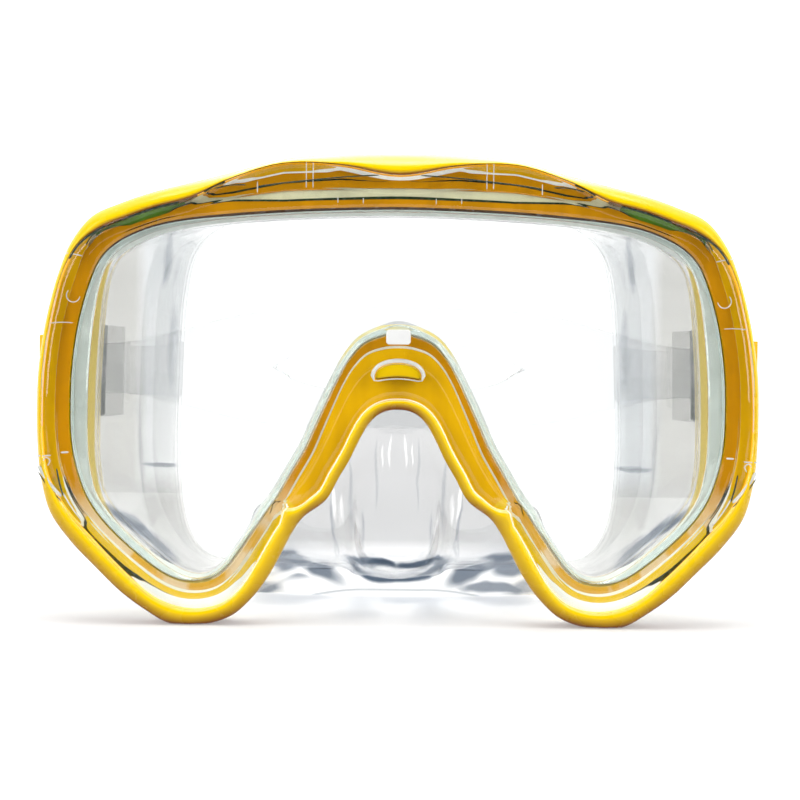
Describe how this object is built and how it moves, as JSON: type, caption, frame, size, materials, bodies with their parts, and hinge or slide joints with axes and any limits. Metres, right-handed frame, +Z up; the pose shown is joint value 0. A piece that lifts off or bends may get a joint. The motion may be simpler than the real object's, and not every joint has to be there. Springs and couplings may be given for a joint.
{
  "type": "snorkel mask",
  "caption": "Single-lens snorkelling mask with a yellow frame under a clear bezel, a clear nose-pocket skirt, and a split strap on swivel buckles.",
  "frame": {"origin": "middle of the overall box, on the surface the mask stands on", "axes": "+Z up, the lens faces -Y and the face goes in from +Y, +X to the right seen from in front of the lens"},
  "size_m": [0.1808, 0.1627, 0.112],
  "materials": {
    "frame_yellow": "glossy moulded plastic, bright yellow where bare and amber under the bezel",
    "bezel_clear": "clear polished polycarbonate with a faint green tint",
    "lens_glass": "tempered plate glass with ground green edges",
    "skirt_silicone": "clear silicone, glossy outside and slightly frosted inside",
    "clip_white": "white moulded plastic",
    "strap_silicone": "clear silicone",
    "keeper_plastic": "frosted translucent plastic",
    "pin_steel": "passivated stainless steel",
    "buckle_plastic": "dark green translucent plastic",
    "lever_yellow": "yellow moulded plastic"
  },
  "bodies": {
    "mask": {"rear_frame": "frame_yellow", "front_bezel": "bezel_clear", "lens": "lens_glass", "skirt": "skirt_silicone", "nose_clip": "clip_white", "swivel_pin_left": "pin_steel", "swivel_pin_right": "pin_steel", "pin_clip_left": "pin_steel", "pin_clip_right": "pin_steel"},
    "strap_band": {"strap": "strap_silicone", "strap_keeper_left": "keeper_plastic", "strap_keeper_right": "keeper_plastic"},
    "buckle_right": {"buckle_body_right": "buckle_plastic", "roller_pin_right": "pin_steel", "lever_pin_right": "pin_steel", "lever_spring_right": "pin_steel"},
    "buckle_left": {"buckle_body_left": "buckle_plastic", "roller_pin_left": "pin_steel", "lever_pin_left": "pin_steel", "lever_spring_left": "pin_steel"},
    "roller_right": {"strap_roller_right": "keeper_plastic"},
    "roller_left": {"strap_roller_left": "keeper_plastic"},
    "lever_right": {"release_lever_right": "lever_yellow"},
    "lever_left": {"release_lever_left": "lever_yellow"}
  },
  "joints": [
    {"name": "strap_swing", "type": "hinge", "parent": "mask", "child": "strap_band", "pos_m": [0, -0.05595, 0.0596], "axis": [1, 0, 0], "range_deg": [-15, 60]},
    {"name": "buckle_right_swing", "type": "hinge", "parent": "mask", "child": "buckle_right", "pos_m": [0.078, -0.05595, 0.0596], "axis": [1, 0, 0], "range_deg": [-15, 60]},
    {"name": "buckle_left_swing", "type": "hinge", "parent": "mask", "child": "buckle_left", "pos_m": [-0.078, -0.05595, 0.0596], "axis": [1, 0, 0], "range_deg": [-15, 60]},
    {"name": "roller_right_spin", "type": "hinge", "parent": "buckle_right", "child": "roller_right", "pos_m": [0.0852, -0.03395, 0.0596], "axis": [0, 0, 1], "continuous": true},
    {"name": "roller_left_spin", "type": "hinge", "parent": "buckle_left", "child": "roller_left", "pos_m": [-0.0852, -0.03395, 0.0596], "axis": [0, 0, -1], "continuous": true},
    {"name": "lever_right_release", "type": "hinge", "parent": "buckle_right", "child": "lever_right", "pos_m": [0.0855, -0.04235, 0.0596], "axis": [0, 0, 1], "range_deg": [0, 12], "stiffness_Nm_per_rad": 0.05, "springref_deg": -5.73},
    {"name": "lever_left_release", "type": "hinge", "parent": "buckle_left", "child": "lever_left", "pos_m": [-0.0855, -0.04235, 0.0596], "axis": [0, 0, -1], "range_deg": [0, 12], "stiffness_Nm_per_rad": 0.05, "springref_deg": -5.73}
  ],
  "couplings": [
    {"joint": "buckle_right_swing", "follows": "strap_swing", "ratio": 1},
    {"joint": "buckle_left_swing", "follows": "strap_swing", "ratio": 1}
  ]
}
